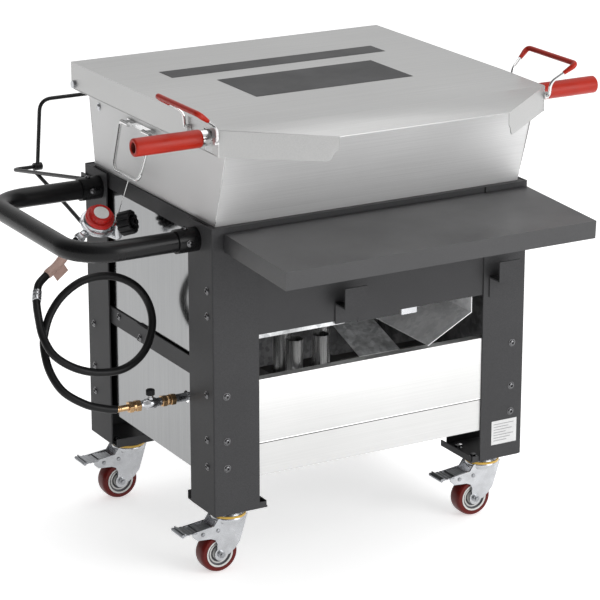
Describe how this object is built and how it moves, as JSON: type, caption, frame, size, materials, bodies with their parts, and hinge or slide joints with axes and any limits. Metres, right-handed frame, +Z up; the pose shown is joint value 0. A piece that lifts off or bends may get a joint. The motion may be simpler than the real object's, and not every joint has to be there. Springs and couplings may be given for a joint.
{
  "type": "propane boil cart",
  "caption": "Wheeled outdoor gas boil station with hinged lid, tapered steel tank, folding front shelf, push bar and rear lid rest.",
  "frame": {"origin": "on the floor, under the middle of the bounding box without the hose and regulator", "axes": "+X to the right of the user standing at the shelf, -Y towards the user, +Z up"},
  "size_m": [1.0832, 1.1112, 0.9233],
  "materials": {
    "black_coat": "semi-gloss powder coat",
    "stainless": "satin",
    "zinc": "bright zinc plating",
    "dark_fasteners": "dark zinc",
    "galvanised": "spangled galvanising",
    "cast_iron": "raw casting",
    "red_vinyl": "smooth dipped vinyl",
    "red_tread": "smooth polyurethane",
    "yellow_seal": "moulded",
    "brass": "machined",
    "black_plastic": "moulded",
    "hose_rubber": "smooth",
    "tag_vinyl": "soft film"
  },
  "bodies": {
    "frame": {"leg_front_left": "black_coat", "leg_front_right": "black_coat", "leg_rear_left": "black_coat", "leg_rear_right": "black_coat", "top_rails": "black_coat", "front_apron": "black_coat", "front_panel": "stainless", "side_panel_left": "stainless", "side_panel_right": "stainless", "rear_panel": "stainless", "mid_rails": "black_coat", "push_bar": "black_coat", "push_bar_sockets": "black_coat", "caster_brackets": "black_coat", "caster_plates": "zinc", "caster_seals": "yellow_seal", "fasteners": "dark_fasteners", "lid_rest_arms": "black_coat", "hooks": "black_coat", "shelf_lugs": "black_coat", "tank": "stainless", "basket": "stainless", "basket_tubes": "stainless", "basket_grips": "red_vinyl", "drop_handle_brackets": "stainless", "hinge_bolts": "zinc", "burner_tubes": "galvanised", "burner_manifold": "cast_iron", "gas_pipe": "zinc", "heat_baffles": "galvanised", "valve_body": "zinc", "brass_nuts": "brass", "hose": "hose_rubber", "hose_ferrule": "zinc", "hose_tag": "tag_vinyl", "regulator_body": "zinc", "hanger_wire": "zinc"},
    "lid": {"lid": "stainless", "lid_handle_wires": "stainless", "lid_handle_grips": "red_vinyl"},
    "drop_left": {"drop_handle_left": "stainless"},
    "drop_right": {"drop_handle_right": "stainless"},
    "shelf": {"shelf": "black_coat"},
    "lid_rest": {"lid_rest_frame": "black_coat"},
    "valve_knob": {"valve_knob": "black_plastic"},
    "regulator_cap": {"regulator_cap": "red_vinyl"},
    "handwheel": {"regulator_handwheel": "black_plastic"},
    "fork_fl": {"caster_fork_fl": "zinc"},
    "wheel_fl": {"caster_wheel_fl": "red_tread"},
    "pedal_fl": {"caster_pedal_fl": "zinc"},
    "fork_fr": {"caster_fork_fr": "zinc"},
    "wheel_fr": {"caster_wheel_fr": "red_tread"},
    "pedal_fr": {"caster_pedal_fr": "zinc"},
    "fork_rl": {"caster_fork_rl": "zinc"},
    "wheel_rl": {"caster_wheel_rl": "red_tread"},
    "pedal_rl": {"caster_pedal_rl": "zinc"},
    "fork_rr": {"caster_fork_rr": "zinc"},
    "wheel_rr": {"caster_wheel_rr": "red_tread"},
    "pedal_rr": {"caster_pedal_rr": "zinc"}
  },
  "joints": [
    {"name": "lid_hinge", "type": "hinge", "parent": "frame", "child": "lid", "pos_m": [0.055, 0.2346, 0.838], "axis": [-1, 0, 0], "range_deg": [0, 190]},
    {"name": "drop_left_swing", "type": "hinge", "parent": "frame", "child": "drop_left", "pos_m": [-0.284, -0.0184, 0.805], "axis": [0, 1, 0], "range_deg": [-18, 130]},
    {"name": "drop_right_swing", "type": "hinge", "parent": "frame", "child": "drop_right", "pos_m": [0.394, -0.0184, 0.805], "axis": [0, -1, 0], "range_deg": [-18, 130]},
    {"name": "shelf_fold", "type": "hinge", "parent": "frame", "child": "shelf", "pos_m": [0.055, -0.3324, 0.645], "axis": [1, 0, 0], "range_deg": [0, 87]},
    {"name": "lid_rest_fold", "type": "hinge", "parent": "frame", "child": "lid_rest", "pos_m": [0.055, 0.5476, 0.593], "axis": [1, 0, 0], "range_deg": [0, 82]},
    {"name": "swivel_fl", "type": "hinge", "parent": "frame", "child": "fork_fl", "pos_m": [-0.229, -0.2694, 0.105], "axis": [0, 0, 1], "continuous": true},
    {"name": "roll_fl", "type": "hinge", "parent": "fork_fl", "child": "wheel_fl", "pos_m": [-0.255, -0.2694, 0.038], "axis": [0, 1, 0], "continuous": true},
    {"name": "brake_fl", "type": "hinge", "parent": "fork_fl", "child": "pedal_fl", "pos_m": [-0.293, -0.2694, 0.085], "axis": [0, 1, 0], "range_deg": [0, 12]},
    {"name": "swivel_fr", "type": "hinge", "parent": "frame", "child": "fork_fr", "pos_m": [0.339, -0.2694, 0.105], "axis": [0, 0, 1], "continuous": true},
    {"name": "roll_fr", "type": "hinge", "parent": "fork_fr", "child": "wheel_fr", "pos_m": [0.313, -0.2694, 0.038], "axis": [0, 1, 0], "continuous": true},
    {"name": "brake_fr", "type": "hinge", "parent": "fork_fr", "child": "pedal_fr", "pos_m": [0.275, -0.2694, 0.085], "axis": [0, 1, 0], "range_deg": [0, 12]},
    {"name": "swivel_rl", "type": "hinge", "parent": "frame", "child": "fork_rl", "pos_m": [-0.229, 0.1566, 0.105], "axis": [0, 0, 1], "continuous": true},
    {"name": "roll_rl", "type": "hinge", "parent": "fork_rl", "child": "wheel_rl", "pos_m": [-0.255, 0.1566, 0.038], "axis": [0, 1, 0], "continuous": true},
    {"name": "brake_rl", "type": "hinge", "parent": "fork_rl", "child": "pedal_rl", "pos_m": [-0.293, 0.1566, 0.085], "axis": [0, 1, 0], "range_deg": [0, 12]},
    {"name": "swivel_rr", "type": "hinge", "parent": "frame", "child": "fork_rr", "pos_m": [0.339, 0.1566, 0.105], "axis": [0, 0, 1], "continuous": true},
    {"name": "roll_rr", "type": "hinge", "parent": "fork_rr", "child": "wheel_rr", "pos_m": [0.313, 0.1566, 0.038], "axis": [0, 1, 0], "continuous": true},
    {"name": "brake_rr", "type": "hinge", "parent": "fork_rr", "child": "pedal_rr", "pos_m": [0.275, 0.1566, 0.085], "axis": [0, 1, 0], "range_deg": [0, 12]},
    {"name": "valve_turn", "type": "hinge", "parent": "frame", "child": "valve_knob", "pos_m": [-0.351, -0.1964, 0.343], "axis": [0, 0, 1], "range_deg": [0, 360]},
    {"name": "regulator_turn", "type": "hinge", "parent": "frame", "child": "regulator_cap", "pos_m": [-0.359, -0.0064, 0.633], "axis": [0, -0.5736, 0.8192], "range_deg": [0, 360]},
    {"name": "handwheel_turn", "type": "hinge", "parent": "frame", "child": "handwheel", "pos_m": [-0.328, -0.0384, 0.6293], "axis": [0.6235, -0.717, 0.3117], "continuous": true}
  ]
}
